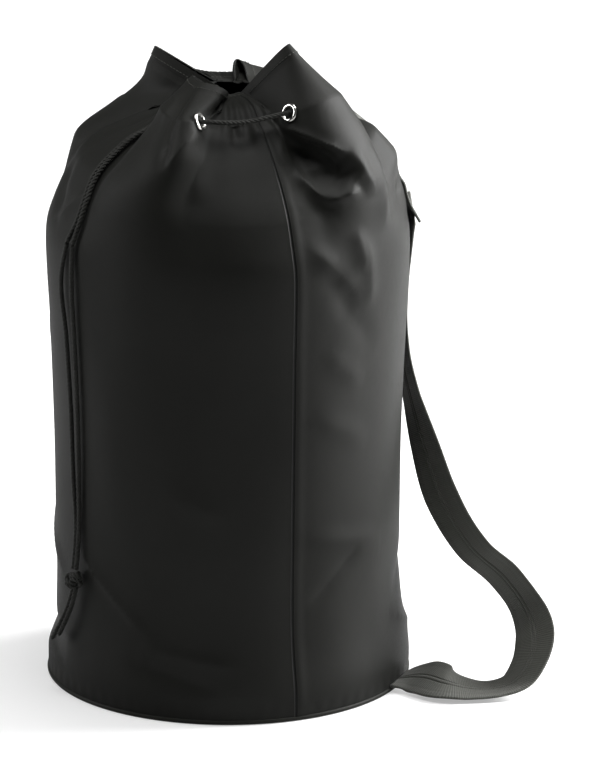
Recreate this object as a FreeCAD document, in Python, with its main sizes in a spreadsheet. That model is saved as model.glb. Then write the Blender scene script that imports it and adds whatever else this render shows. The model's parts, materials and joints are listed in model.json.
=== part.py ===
import FreeCAD, Part
import Sketcher
import math
import os
from FreeCAD import Placement, Rotation, Vector

# A drawstring duffel for carrying rope: a round fabric tube on a round base, a neck that is
# gathered on a cord into four standing ears with four valleys between them, eight eyelets,
# two cord tails tied in a knot, and one webbing shoulder strap that hangs in a loop.
# Frame: origin at the centre of the base's underside, +Z up, +X to the strap side, -Y to the front.
# All lengths are in millimetres and all angles in degrees.

DIMENSIONS = [
    # alias, value, meaning
    ("bag_radius", 145.0, "outside radius of the fabric tube"),
    ("shoulder_height", 380.0, "where the gathered neck starts"),
    ("cinch_height", 480.0, "height of the drawn-in cord"),
    ("cinch_radius", 72.0, "pleat fold to bag axis at the cord"),
    ("hem_height", 503.0, "height of a valley's hem"),
    ("hem_radius", 50.0, "pleat fold to bag axis at the hem"),
    ("fabric", 1.2, "thickness of the coated fabric"),
    ("fit_gap", 1.0, "half the gap between the tube and the neck"),
    ("clearance", 0.3, "gap between pieces that lie against each other"),
    ("valley_half_angle", 24.64, "bearing from a valley's middle to its pleat fold"),
    ("ear_half_angle", 20.32, "bearing from an ear's middle to its pleat fold"),
    ("pleat_inset", 3.0, "how far a valley lies inside the ears' feet"),
    ("pleat_tuck", 0.18, "hidden pleat width per unit of height above the shoulder"),
    ("ease_angle", 13.0, "how far the neck panels lean out when the cord is eased"),
    ("seam_bearing", -78.0, "bearing of the front body seam"),
    ("tape_width", 15.0, "width of the binding tapes"),
    ("tape_thick", 1.0, "thickness of the binding tapes"),
    ("base_thick", 2.4, "thickness of the base panel"),
    ("piping_radius", 2.0, "radius of the covered piping"),
    ("piping_core_radius", 1.1, "radius of the filler cord in the piping"),
    ("eyelet_hole_radius", 4.5, "radius of an eyelet's hole"),
    ("eyelet_radius", 7.75, "outside radius of an eyelet's flange"),
    ("eyelet_wall", 0.5, "wall of an eyelet's barrel"),
    ("eyelet_plate", 0.7, "thickness of an eyelet's flange and washer"),
    ("eyelet_length", 4.1, "length of an eyelet's barrel"),
    ("cord_radius", 2.0, "radius of the drawcord"),
    ("strap_width", 39.0, "width of the shoulder webbing"),
    ("strap_thick", 2.2, "thickness of the shoulder webbing"),
    ("strap_base_bearing", -29.0, "bearing where the strap leaves the base seam"),
    ("tail_bearing", 203.0, "bearing at which the cord tails hang"),
    ("knot_height", 99.5, "height of the knot in the cord tails"),
    ("knot_radius", 8.5, "half the width of the knot"),
    ("knot_half_height", 10.0, "half the height of the knot"),
    ("tail_gap", 1.2, "gap between the two cord tails, and between them and the tube"),
]

VALLEYS = {"front": -90, "strap_side": 0, "rear": 90, "cord_side": 180}
# Each ear: bearing, height of its tip, distance of its tip from the bag's axis.
EARS = {
    "front_right": (-45, 533, 64),
    "front_left": (-135, 511, 66),
    "rear_left": (135, 507, 70),
    "rear_right": (45, 503, 66),
}
# The middle line of every ear up to the eyelets, as (radius, height).
RIDGE = [(145.0, 381.0), (138.0, 425.0), (121.0, 461.0), (100.0, 490.0)]
EYELET_PLACE = 0.80
EAR_OVERHANG = 0.25
# Rows of points up each neck panel: the eyelets are on one of them, and the hem is the last.
LEVELS = 9
EYELET_LEVEL = 6
COLUMNS = 12
# The strap's edges stay this far above the floor.
FLOOR_GAP = 2.6
# The pleats start this far above the shoulder, and their tucks lean in by this slope.
PLEAT_START = 14.0
PLEAT_LEAN = math.tan(math.radians(22.5))

doc = FreeCAD.newDocument("rope_bag")
sheet = doc.addObject("Spreadsheet::Sheet", "Dims")
for row, (alias, value, meaning) in enumerate(DIMENSIONS, start=1):
    sheet.set("A%d" % row, meaning)
    sheet.set("B%d" % row, str(value))
    sheet.setAlias("B%d" % row, alias)
doc.recompute()

nodes = []


def size(alias):
    """The value of one driving dimension."""
    return float(sheet.get(alias))


def smooth(x):
    """A smooth step from 0 to 1."""
    x = min(1.0, max(0.0, x))
    return x * x * (3.0 - 2.0 * x)


def turned(bearing, lift=0.0):
    """A placement at the bag's axis, turned about it."""
    return Placement(Vector(0, 0, lift), Rotation(Vector(0, 0, 1), bearing))


def keep(item, label, placement=None):
    """Name an object as a node of the model."""
    item.Label = label
    if placement is not None:
        item.Placement = placement
    nodes.append(item)
    return item


def keep_shape(label, shape, placement):
    """Make a node from a shape that no sketch describes."""
    item = doc.addObject("Part::Feature", label)
    item.Shape = shape
    return keep(item, label, placement)


# ---------------------------------------------------------------- sketched pieces

def origin_plane(body, role):
    return next(f for f in body.Origin.OriginFeatures if f.Role == role)


def new_sketch(body, name, role):
    sketch = body.newObject("Sketcher::SketchObject", name)
    sketch.AttachmentSupport = (origin_plane(body, role), [""])
    sketch.MapMode = "FlatFace"
    return sketch


def polygon_sketch(body, name, role, corners):
    """A closed outline whose corners are pairs of expressions for x and y."""
    sketch = new_sketch(body, name, role)
    count = len(corners)
    rough = []
    for x_text, y_text in corners:
        rough.append(Vector(evaluate(x_text), evaluate(y_text), 0))
    for i in range(count):
        sketch.addGeometry(Part.LineSegment(rough[i], rough[(i + 1) % count]), False)

    for i in range(count):
        sketch.addConstraint(Sketcher.Constraint("Coincident", i, 2, (i + 1) % count, 1))
    for i, (x_text, y_text) in enumerate(corners):
        for kind, value, text in (("DistanceX", rough[i].x, x_text), ("DistanceY", rough[i].y, y_text)):
            number = sketch.addConstraint(Sketcher.Constraint(kind, -1, 1, i, 1, value))
            sketch.setExpression("Constraints[%d]" % number, text)
    return sketch


def evaluate(text):
    """The present value of an expression in the driving dimensions."""
    return float(sheet.evalExpression(text.replace("Dims.", "")))


def ring(label, corners, angle_text="360", bearing=0.0):
    """A profile in the XZ plane turned about the bag's axis, centred on a bearing."""
    body = doc.addObject("PartDesign::Body", label)
    sketch = polygon_sketch(body, label + "_profile", "XZ_Plane", corners)
    turn = body.newObject("PartDesign::Revolution", label + "_turn")
    turn.Profile = sketch
    turn.ReferenceAxis = (sketch, ["V_Axis"])
    turn.Midplane = True
    turn.setExpression("Angle", angle_text)
    body.Tip = turn
    sketch.Visibility = False
    return keep(body, label, turned(bearing))


def box_profile(inner, outer, bottom, top):
    return [(inner, bottom), (outer, bottom), (outer, top), (inner, top)]


wall_inner = "Dims.bag_radius - Dims.fabric"
wall_bottom = "2.2 * Dims.piping_radius"
wall_top = "Dims.shoulder_height - Dims.fit_gap"
tape_outer = "Dims.bag_radius - Dims.fabric - Dims.clearance"
tape_inner = "Dims.bag_radius - Dims.fabric - Dims.clearance - Dims.tape_thick"
tape_angle = "Dims.tape_width / Dims.bag_radius * 180 / pi"


def make_base():
    body = doc.addObject("PartDesign::Body", "base_panel")
    sketch = new_sketch(body, "base_outline", "XY_Plane")
    sketch.addGeometry(Part.Circle(Vector(0, 0, 0), Vector(0, 0, 1), size("bag_radius")), False)
    sketch.addConstraint(Sketcher.Constraint("Coincident", 0, 3, -1, 1))
    number = sketch.addConstraint(Sketcher.Constraint("Radius", 0, size("bag_radius")))
    sketch.setExpression("Constraints[%d]" % number, "Dims.bag_radius - 2 * Dims.piping_radius + 0.4")
    pad = body.newObject("PartDesign::Pad", "base_pad")
    pad.Profile = sketch
    pad.setExpression("Length", "Dims.base_thick")
    body.Tip = pad
    sketch.Visibility = False
    keep(body, "base_panel", turned(0))


def make_piping():
    """The piping round the base: a filler cord in a folded fabric cover."""
    centre = "Dims.bag_radius - 0.7 * Dims.piping_radius"
    for label, radius, hollow in (
        ("base_piping_core", "Dims.piping_core_radius", None),
        ("base_piping_cover", "Dims.piping_radius", "Dims.piping_core_radius + 0.1"),
    ):
        torus = doc.addObject("Part::Torus", label + "_ring")
        torus.setExpression("Radius1", centre)
        torus.setExpression("Radius2", radius)
        place = Placement(Vector(0, 0, 1.05 * size("piping_radius")), Rotation())
        torus.Placement = place
        if hollow is None:
            keep(torus, label)
            continue
        bore = doc.addObject("Part::Torus", label + "_bore")
        bore.setExpression("Radius1", centre)
        bore.setExpression("Radius2", hollow)
        bore.Placement = place
        cut = doc.addObject("Part::Cut", label)
        cut.Base = torus
        cut.Tool = bore
        keep(cut, label)


def make_tube():
    seam = size("seam_bearing")
    wall = box_profile(wall_inner, "Dims.bag_radius", wall_bottom, wall_top)
    half_turn = "179.8"
    ring("front_panel", wall, half_turn, seam - 90)
    ring("rear_panel", wall, half_turn, seam + 90)
    strip = box_profile(tape_inner, tape_outer, "Dims.tape_width + 8", wall_top + " - 6")
    ring("seam_tape_front", strip, tape_angle, seam)
    ring("seam_tape_rear", strip, tape_angle, seam + 180)
    hoop = box_profile(tape_inner, tape_outer, "Dims.base_thick + 2.5", "Dims.tape_width + 6")
    ring("base_seam_tape", hoop)


def make_strap_tab():
    """The sewn end of the strap, where it comes out of the base seam."""
    plate = box_profile("Dims.bag_radius + 0.2", "Dims.bag_radius + 2.4",
                        "2.3 * Dims.piping_radius", "2.3 * Dims.piping_radius + Dims.strap_thick")
    ring("strap_lower_tab", plate, "Dims.strap_width / Dims.bag_radius * 180 / pi",
         size("strap_base_bearing"))


# ---------------------------------------------------------------- shaped cloth and cord

def interpolate(points, count):
    """Evenly spaced points on a smooth curve through (radius, height) pairs."""
    curve = Part.BSplineCurve()
    curve.interpolate([Vector(r, 0, z) for r, z in points])
    return [(p.x, p.z) for p in curve.discretize(count)]


def edge_line(lower_run, end):
    """Rows up to the eyelets on a smooth curve, and straight on from there to the hem."""
    rows = interpolate(lower_run, EYELET_LEVEL + 1)
    start = rows[-1]
    extra = LEVELS - len(rows)
    for k in range(1, extra + 1):
        part = k / extra
        rows.append((start[0] + (end[0] - start[0]) * part, start[1] + (end[1] - start[1]) * part))
    return rows


def fold_line():
    """The pleat fold between a valley and an ear, as (radius, height)."""
    radius = size("bag_radius")
    start = size("shoulder_height") + size("fit_gap")
    cinch = (size("cinch_radius"), size("cinch_height"))
    run = [(radius, start), (radius - 14, start + 33), (radius - 38, start + 64), cinch]
    return edge_line(run, (size("hem_radius"), size("hem_height")))


def ridge_line(tip_height, tip_radius):
    """The middle line of an ear, as (radius, height)."""
    return edge_line(RIDGE, (tip_radius, tip_height))


def sheet_solid(rows, thick):
    """A cloth sheet: the smooth surface through rows of points, thickened inwards."""
    inner = []
    for i, row in enumerate(rows):
        line = []
        for j, point in enumerate(row):
            along = rows[min(i + 1, len(rows) - 1)][j] - rows[max(i - 1, 0)][j]
            across = row[min(j + 1, len(row) - 1)] - row[max(j - 1, 0)]
            normal = across.cross(along)
            normal.normalize()
            line.append(point - normal * thick)
        inner.append(line)
    faces = []
    sides = []
    for grid in (rows, inner):
        surface = Part.BSplineSurface()
        surface.interpolate(grid)
        u0, u1, v0, v1 = surface.bounds()
        faces.append(surface.toShape())
        sides.append([surface.uIso(u0), surface.uIso(u1), surface.vIso(v0), surface.vIso(v1)])
    for outer_edge, inner_edge in zip(*sides):
        faces.append(Part.makeRuledSurface(outer_edge.toShape(), inner_edge.toShape()))
    shell = Part.makeShell(faces)
    shell.sewShape()
    solid = Part.makeSolid(shell)
    if solid.Volume < 0:
        solid.reverse()
    return solid


def cord_solid(points):
    """A round cord along a smooth curve."""
    curve = Part.BSplineCurve()
    curve.interpolate(points)
    path = Part.Wire([curve.toShape()])
    start = curve.tangent(curve.FirstParameter)[0]
    section = Part.Wire([Part.makeCircle(size("cord_radius"), points[0], start)])
    return path.makePipeShell([section], True, True)


def polar(radius, bearing, height):
    angle = math.radians(bearing)
    return Vector(radius * math.cos(angle), radius * math.sin(angle), height)


def ear_point(level, place, ridge, fold):
    """A point of an ear in its own frame: level picks the row, place runs from -1 to 1."""
    foot_radius, foot_height = fold[level]
    ridge_radius, ridge_height = ridge[level]
    half = math.radians(size("ear_half_angle"))
    foot_x = foot_radius * math.cos(half)
    foot_y = foot_radius * math.sin(half)
    drawn = smooth(level / EYELET_LEVEL)
    angle = place * math.pi / 2
    round_across = math.sin(angle) * (1 + EAR_OVERHANG * math.cos(angle) ** 2)
    round_out = math.cos(angle)
    across = (1 - drawn) * place + drawn * round_across
    out = (1 - drawn) * (1 - place * place) + drawn * round_out
    x = foot_x + (ridge_radius - foot_x) * out
    z = foot_height + (ridge_height - foot_height) * out
    return Vector(x, foot_y * across, z)


def ear_rows(tip_height, tip_radius):
    fold = fold_line()
    ridge = ridge_line(tip_height, tip_radius)
    rows = []
    for level in range(LEVELS):
        row = []
        for k in range(COLUMNS + 1):
            row.append(ear_point(level, 2 * k / COLUMNS - 1, ridge, fold))
        rows.append(row)
    return rows


def valley_point(level, across, lift=0.0):
    """A point of a valley in its own frame, at a distance across from its middle."""
    fold = fold_line()
    low = int(min(level, LEVELS - 2))
    part = level - low
    radius = fold[low][0] * (1 - part) + fold[low + 1][0] * part
    height = fold[low][1] * (1 - part) + fold[low + 1][1] * part
    rise = height - fold[0][1]
    radius -= size("pleat_inset") * smooth(rise / PLEAT_START)
    half = math.radians(size("valley_half_angle"))
    fold_x = radius * math.cos(half)
    fold_y = radius * math.sin(half)
    if abs(across) <= fold_y:
        x = fold_x + PLEAT_LEAN / (2 * fold_y) * (fold_y ** 2 - across ** 2)
    else:
        x = fold_x - PLEAT_LEAN * (abs(across) - fold_y)
    slope = math.atan2(fold[low + 1][1] - fold[low][1], fold[low][0] - fold[low + 1][0])
    return Vector(x + lift * math.sin(slope), across, height + lift * math.cos(slope))


def valley_half_width(level):
    """Half a valley's cloth: out to the pleat fold, and the tuck hidden behind the ear."""
    radius, height = fold_line()[level]
    radius -= size("pleat_inset")
    half = math.radians(size("valley_half_angle"))
    fold_x = radius * math.cos(half)
    fold_y = radius * math.sin(half)
    tuck = size("pleat_tuck") * max(0.0, height - size("shoulder_height") - PLEAT_START)
    to_ear_middle = (fold_x - fold_y) / (1 + PLEAT_LEAN)
    return fold_y + min(tuck, to_ear_middle - 2 * size("fabric"))


def valley_rows():
    rows = []
    for level in range(LEVELS):
        half = valley_half_width(level)
        rows.append([valley_point(level, half * (2 * k / COLUMNS - 1)) for k in range(COLUMNS + 1)])
    return rows


def eyelet_seat(rows, side):
    """The middle of an eyelet on an ear's sheet, and the sheet's outward normal there."""
    surface = Part.BSplineSurface()
    surface.interpolate(rows)
    u0, u1, v0, v1 = surface.bounds()
    u = u0 + (u1 - u0) * EYELET_LEVEL / (LEVELS - 1)
    v = v0 + (v1 - v0) * (1 + side * EYELET_PLACE) / 2
    spot = surface.value(u, v)
    normal = surface.normal(u, v)
    if normal.y * side < 0:
        normal = normal * -1
    return spot, normal


def seen_from_valley(point, side, ease):
    """Where a point of the ear beside a valley is, seen from that valley, once eased out."""
    hinge = Vector(size("bag_radius"), 0, size("shoulder_height"))
    to_ear = Rotation(Vector(0, 0, 1), side * 45)
    lean = Rotation(Vector(0, 1, 0), ease)
    moved = to_ear.multVec(hinge + lean.multVec(point - hinge))
    return hinge + lean.inverted().multVec(moved - hinge)


def eyelet_body(label, corners, spot, normal):
    body = doc.addObject("PartDesign::Body", label)
    sketch = polygon_sketch(body, label + "_profile", "XZ_Plane", corners)
    turn = body.newObject("PartDesign::Revolution", label + "_turn")
    turn.Profile = sketch
    turn.ReferenceAxis = (sketch, ["V_Axis"])
    turn.Angle = 360
    body.Tip = turn
    sketch.Visibility = False
    body.Placement = Placement(spot, Rotation(Vector(0, 0, 1), normal))
    return body


BARREL = [
    ("Dims.eyelet_hole_radius", "Dims.eyelet_plate + 0.15 - Dims.eyelet_length"),
    ("Dims.eyelet_hole_radius + Dims.eyelet_wall", "Dims.eyelet_plate + 0.15 - Dims.eyelet_length"),
    ("Dims.eyelet_hole_radius + Dims.eyelet_wall", "0.15"),
    ("Dims.eyelet_radius", "0.15"),
    ("Dims.eyelet_radius", "0.15 + Dims.eyelet_plate"),
    ("Dims.eyelet_hole_radius", "0.15 + Dims.eyelet_plate"),
]
WASHER = box_profile("Dims.eyelet_hole_radius + Dims.eyelet_wall + 0.1", "Dims.eyelet_radius - 0.4",
                     "-2.45 - Dims.eyelet_plate", "-2.45")


def make_ear(name, bearing, tip_height, tip_radius):
    """An ear: cloth with two eyelets and the length of cord that runs inside it."""
    rows = ear_rows(tip_height, tip_radius)
    cloth = sheet_solid(rows, size("fabric"))
    frame = turned(bearing)
    barrels = []
    washers = []
    spots = []
    for side in (-1, 1):
        spot, normal = eyelet_seat(rows, side)
        spots.append(spot)
        clear = size("eyelet_hole_radius") + size("eyelet_wall") + 0.2
        cloth = cloth.cut(Part.makeCylinder(clear, 12, spot - normal * 6, normal))
        at = frame.multVec(spot)
        facing = frame.Rotation.multVec(normal)
        tag = "%s_%d" % (name, side + 2)
        barrels.append(eyelet_body("barrel_" + tag, BARREL, at, facing))
        washers.append(eyelet_body("washer_" + tag, WASHER, at, facing))
    keep_shape("ear_%s_fabric" % name, cloth, frame)
    for label, bodies in (("eyelet_barrels", barrels), ("eyelet_washers", washers)):
        pair = doc.addObject("Part::Compound", "%s_%s" % (label, name))
        pair.Links = bodies
        keep(pair, "%s_%s" % (label, name))
    middle = (spots[0] + spots[1]) * 0.5
    inside = [middle + Vector(9, -14, 0), middle + Vector(12, -7, 0), middle + Vector(13, 0, 0),
              middle + Vector(12, 7, 0), middle + Vector(9, 14, 0)]
    keep_shape("cord_inside_%s" % name, cord_solid(inside), frame)
    return spots


def ear_beside(bearing, side):
    """The tip of the ear beside a valley: 45 degrees on from it."""
    for ear_bearing, tip_height, tip_radius in EARS.values():
        if (bearing + 45 * side - ear_bearing) % 360 == 0:
            return tip_height, tip_radius
    raise ValueError("no ear beside the valley at %s" % bearing)


def threaded_end(bearing, side):
    """The cord through the eyelet beside a valley, from inside the ear outwards."""
    spot, _ = eyelet_seat(ear_rows(*ear_beside(bearing, side)), -side)
    ease = size("ease_angle")
    here = seen_from_valley(spot, side, 0)
    eased = seen_from_valley(spot, side, ease)
    halfway = seen_from_valley(spot, side, ease / 2)
    onwards = eased + (eased - halfway) * 0.25
    out = (here - halfway)
    out.normalize()
    return [onwards, halfway, here, here + out * 6]


def make_valley(name, bearing):
    cloth = sheet_solid(valley_rows(), size("fabric"))
    keep_shape("valley_%s_fabric" % name, cloth, turned(bearing))
    if name != "cord_side":
        left = threaded_end(bearing, -1)
        right = threaded_end(bearing, 1)
        crown = [Vector(left[3].x + 3.5, 0, left[3].z - 1.5)]
        keep_shape("cord_span_%s" % name, cord_solid(left + crown + right[::-1]), turned(bearing))


def tail_top(offset):
    """Where a cord tail passes the shoulder, in the frame of the valley on the cord side."""
    out = size("bag_radius") + size("cord_radius") + size("tail_gap")
    return polar(out, size("tail_bearing") - VALLEYS["cord_side"], size("shoulder_height") + 3) + offset


# Both tails down the valley on the cord side, as (level, distance across, extra lift).
NEAR_TAIL = [(5.3, 30, 2.4), (4.3, 31, 1.6), (3.2, 37, 1.2), (2.1, 44, 1.2), (1.0, 51, 1.2)]
FAR_TAIL = [(5.7, -14, 3.4), (5.2, 3, 2.6), (4.2, 16, 1.6), (3.2, 26, 1.2), (2.1, 34, 1.2), (1.0, 42, 1.2)]


def make_upper_tails():
    """Both cord tails from their eyelets down the valley on the cord side."""
    bearing = VALLEYS["cord_side"]
    lift = size("cord_radius") + 1.0
    gap = 2 * size("cord_radius") + size("tail_gap")
    strands = []
    for side, run, offset in ((1, NEAR_TAIL, Vector(0, 0, 0)), (-1, FAR_TAIL, Vector(gap * 0.4, -gap, 0))):
        line = threaded_end(bearing, side)
        for level, across, extra in run:
            line.append(valley_point(level, across, lift + extra))
        strands.append(cord_solid(line + [tail_top(offset)]))
    keep_shape("cord_tails_upper", Part.makeCompound(strands), turned(bearing))


def make_hanging_tails():
    """Both tails hanging down the outside of the tube, the knot, and the two loose ends."""
    gap = 2 * size("cord_radius") + size("tail_gap")
    out = size("bag_radius") + size("cord_radius") + size("tail_gap")
    knot_out = size("bag_radius") + size("knot_radius") + 1
    knot = Vector(knot_out, 0, size("knot_height"))
    to_knot = size("knot_half_height") + 0.6
    top = size("shoulder_height")
    strands = []
    ends = []
    for side in (-1, 1):
        # One tail bows away from the other on its way down.
        bow = 3.2 * gap if side < 0 else 0.0
        across = side * gap * 0.5
        bottom = Vector(knot_out, side * gap * 0.45, knot.z + to_knot)
        run = [Vector(out, across - gap * 0.5, top - 2),
               Vector(out + 0.5, across - bow / 4, top - 60),
               Vector(out + 1.0, across - bow / 2, top - 140),
               Vector(out + 2.0, across, bottom.z + 25),
               bottom]
        strands.append(cord_solid(run))
        low = Vector(knot_out, side * gap * 0.45, knot.z - to_knot)
        ends.append(cord_solid([low, low + Vector(2, side * 2, -20), low + Vector(3, side * 5, -46)]))
    keep_shape("cord_tails_hanging", Part.makeCompound(strands), turned(size("tail_bearing")))
    ball = doc.addObject("Part::Ellipsoid", "knot")
    ball.setExpression("Radius1", "Dims.knot_half_height")
    ball.setExpression("Radius2", "Dims.knot_radius")
    ball.setExpression("Radius3", "Dims.knot_radius")
    keep(ball, "cord_knot", Placement(turned(size("tail_bearing")).multVec(knot), Rotation()))
    keep_shape("cord_ends", Part.makeCompound(ends), turned(size("tail_bearing")))


# Middle of the hanging strap as (x, y, z), with the direction across the webbing at that place.
STRAP_RUN = [
    ((151.5, -6.0, 370.5), (0.0, 1.0, 0.0)),
    ((152.0, -2.0, 340.0), (0.0, 1.0, 0.0)),
    ((153.0, 3.0, 310.0), (0.0, 1.0, 0.0)),
    ((154.0, 6.0, 280.0), (0.0, 1.0, 0.0)),
    ((154.5, 5.0, 250.0), (0.0, 1.0, 0.0)),
    ((154.0, -0.5, 217.0), (-0.2, 0.97, 0.0)),
    ((158.4, -11.6, 181.0), (-0.46, 0.89, 0.0)),
    ((169.3, -27.2, 142.0), (-0.62, 0.77, -0.15)),
    ((192.6, -42.2, 102.0), (-0.60, 0.74, -0.32)),
    ((216.7, -52.5, 80.0), (-0.49, 0.72, -0.48)),
    ((231.5, -65.0, 58.0), (-0.54, 0.78, -0.28)),
    ((235.0, -83.0, 39.0), (-0.62, 0.78, -0.05)),
    ((228.0, -95.5, 22.0), (-0.58, 0.79, -0.20)),
    ((216.0, -103.5, 11.5), (-0.50, 0.81, -0.26)),
    ((196.0, -105.5, 7.5), (-0.38, 0.90, -0.17)),
    ((178.0, -105.0, 8.5), (-0.20, 0.95, 0.20)),
    ((157.0, -102.0, 11.0), (0.10, 0.88, 0.42)),
    ((146.0, -89.5, 10.5), (0.36, 0.83, 0.36)),
    ((137.5, -77.5, 8.5), (0.49, 0.84, 0.22)),
]
# The strap's top length, in the frame of the valley that it is sewn to.
STRAP_TOP_OUT = [(122.0, 7.0, 446.0), (137.0, 2.0, 426.0), (147.0, -2.5, 402.0), (151.5, -5.5, 378.5)]


def ribbon_solid(middles, widths):
    """A strap of webbing: a smooth loft through its cross-sections, kept above the floor."""
    half = size("strap_width") / 2
    thick = size("strap_thick") / 2
    sections = []
    for i, middle in enumerate(middles):
        along = middles[min(i + 1, len(middles) - 1)] - middles[max(i - 1, 0)]
        along.normalize()
        across = widths[i] - along * widths[i].dot(along)
        across.normalize()
        face = along.cross(across)
        lowest = half * abs(across.z) + thick * abs(face.z) + FLOOR_GAP
        middle = Vector(middle.x, middle.y, max(middle.z, lowest))
        corners = []
        for side, depth in ((-1, -1), (1, -1), (1, 1), (-1, 1)):
            corners.append(middle + across * (half * side) + face * (thick * depth))
        sections.append(Part.makePolygon(corners + corners[:1]))
    return Part.makeLoft(sections, True, False)


def make_strap():
    middles = [Vector(*spot) for spot, _ in STRAP_RUN]
    widths = [Vector(*across) for _, across in STRAP_RUN]
    keep_shape("strap_main", ribbon_solid(middles, widths), turned(0))
    lift = size("strap_thick") + 1.8
    sewn = [valley_point(4.9, 12, lift), valley_point(4.3, 11, lift)]
    middles = sewn + [Vector(*spot) for spot in STRAP_TOP_OUT]
    widths = [Vector(0, 1, 0)] * len(middles)
    keep_shape("strap_top_section", ribbon_solid(middles, widths), turned(VALLEYS["strap_side"]))


def main():
    make_base()
    make_piping()
    make_tube()
    make_strap_tab()
    for name, (bearing, tip_height, tip_radius) in EARS.items():
        make_ear(name, bearing, tip_height, tip_radius)
    for name, bearing in VALLEYS.items():
        make_valley(name, bearing)
    make_upper_tails()
    make_hanging_tails()
    make_strap()
    doc.recompute()
    write_parts()


def write_parts():
    os.makedirs("parts", exist_ok=True)
    for item in nodes:
        bad = [flag for flag in item.State if flag in ("Invalid", "Error")]
        shape = item.Shape
        if bad or shape.isNull() or not shape.isValid() or shape.Volume <= 0:
            raise RuntimeError("%s did not build: %s" % (item.Label, item.State))
        shape.exportStep("parts/%s.step" % item.Label)
        print("%-28s %10.1f mm3 %d solid(s)" % (item.Label, shape.Volume, len(shape.Solids)))


main()
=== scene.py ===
import json
import math

import bpy
import numpy as np
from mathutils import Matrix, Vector


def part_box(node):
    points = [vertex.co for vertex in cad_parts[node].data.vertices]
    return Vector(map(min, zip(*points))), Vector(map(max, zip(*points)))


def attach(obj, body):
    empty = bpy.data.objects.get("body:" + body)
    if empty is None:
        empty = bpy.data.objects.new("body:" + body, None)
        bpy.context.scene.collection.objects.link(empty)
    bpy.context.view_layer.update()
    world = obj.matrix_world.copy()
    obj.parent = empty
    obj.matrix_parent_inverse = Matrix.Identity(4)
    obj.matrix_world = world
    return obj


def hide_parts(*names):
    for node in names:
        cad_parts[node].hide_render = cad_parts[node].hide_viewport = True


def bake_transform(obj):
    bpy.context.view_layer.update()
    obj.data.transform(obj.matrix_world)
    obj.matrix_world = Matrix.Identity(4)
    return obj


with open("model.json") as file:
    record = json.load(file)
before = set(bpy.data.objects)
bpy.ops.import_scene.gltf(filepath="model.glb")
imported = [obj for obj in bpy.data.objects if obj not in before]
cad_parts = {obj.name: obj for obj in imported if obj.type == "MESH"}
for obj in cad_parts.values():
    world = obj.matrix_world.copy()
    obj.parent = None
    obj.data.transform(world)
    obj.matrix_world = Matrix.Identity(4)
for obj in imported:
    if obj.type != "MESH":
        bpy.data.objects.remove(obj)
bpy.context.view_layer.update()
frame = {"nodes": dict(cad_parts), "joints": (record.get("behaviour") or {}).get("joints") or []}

# Lengths are in metres and bearings in degrees about the bag's axis, from +X towards +Y.
MM = 0.001
UP = np.array([0.0, 0.0, 1.0])


# -------- sizes, from the frame

HINGE = Vector(next(joint["pos_m"] for joint in frame["joints"] if joint["name"] == "neck_ease"))
BAG_RADIUS = math.hypot(HINGE.x, HINGE.y)
SHOULDER = HINGE.z
NECK_START = SHOULDER + 1 * MM
HEM_RADIUS = 20 * MM
HEM_HEIGHT = SHOULDER + 107 * MM
# Half widths of the sectors round the neck, in degrees.
VALLEY_HALF = 24.64
EAR_HALF = 20.32
CLOTH = 0.9 * MM
SEAM_BEARING = -78.0
# How far up a neck panel the cord crosses it.
CINCH_SHARE = 0.75
PLEAT_LEAN = math.tan(math.radians(22.5))
CORD_RADIUS = 2.0 * MM
STRAP_WIDTH = 39 * MM
STRAP_THICK = 2.2 * MM

VALLEYS = {"front": -90, "strap_side": 0, "rear": 90, "cord_side": 180}
EARS = {"front_right": -45, "rear_right": 45, "rear_left": 135, "front_left": 225}
# Each ear's tip in its own frame: outwards, sideways, height.
EAR_TIPS = {"front_right": (60, 0, 533), "front_left": (50, -9, 504),
            "rear_left": (106, 2, 509), "rear_right": (46, 20, 498)}
# How square each ear's fold is: 1 is round, less is boxier.
EAR_ROUND = {"front_right": 0.85, "front_left": 0.5, "rear_left": 0.9, "rear_right": 0.9}
# How far an ear's hem laps over the valley on its higher bearing side.
EAR_LAP = {"front_right": 0, "front_left": 26, "rear_left": 0, "rear_right": 0}
# The sectors round the neck, in order of bearing from the front valley.
SECTORS = [("valley", "front"), ("ear", "front_right"), ("valley", "strap_side"), ("ear", "rear_right"),
           ("valley", "rear"), ("ear", "rear_left"), ("valley", "cord_side"), ("ear", "front_left")]


def smooth(x):
    x = np.clip(x, 0.0, 1.0)
    return x * x * (3.0 - 2.0 * x)


def spline(points, share):
    """A smooth curve through points, at shares 0 to 1 of its chord length."""
    points = np.asarray(points, float)
    chords = np.linalg.norm(np.diff(points, axis=0), axis=1)
    knots = np.concatenate([[0.0], np.cumsum(chords)])
    knots /= knots[-1]
    slopes = np.gradient(points, knots, axis=0)
    share = np.asarray(share, float)
    i = np.clip(np.searchsorted(knots, share, side="right") - 1, 0, len(knots) - 2)
    width = knots[i + 1] - knots[i]
    f = ((share - knots[i]) / width)[..., None]
    width = width[..., None]
    a = 2 * f ** 3 - 3 * f ** 2 + 1
    b = f ** 3 - 2 * f ** 2 + f
    c = -2 * f ** 3 + 3 * f ** 2
    d = f ** 3 - f ** 2
    return a * points[i] + b * width * slopes[i] + c * points[i + 1] + d * width * slopes[i + 1]


def polar(radius, bearing, height):
    angle = np.radians(bearing)
    return np.stack([radius * np.cos(angle), radius * np.sin(angle), height + 0 * angle], axis=-1)


def to_world(points, bearing):
    """Turns points from a neck panel's own frame to its bearing."""
    angle = math.radians(bearing)
    x = points[..., 0] * math.cos(angle) - points[..., 1] * math.sin(angle)
    y = points[..., 0] * math.sin(angle) + points[..., 1] * math.cos(angle)
    return np.stack([x, y, points[..., 2]], axis=-1)


# -------- the cloth shell

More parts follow.
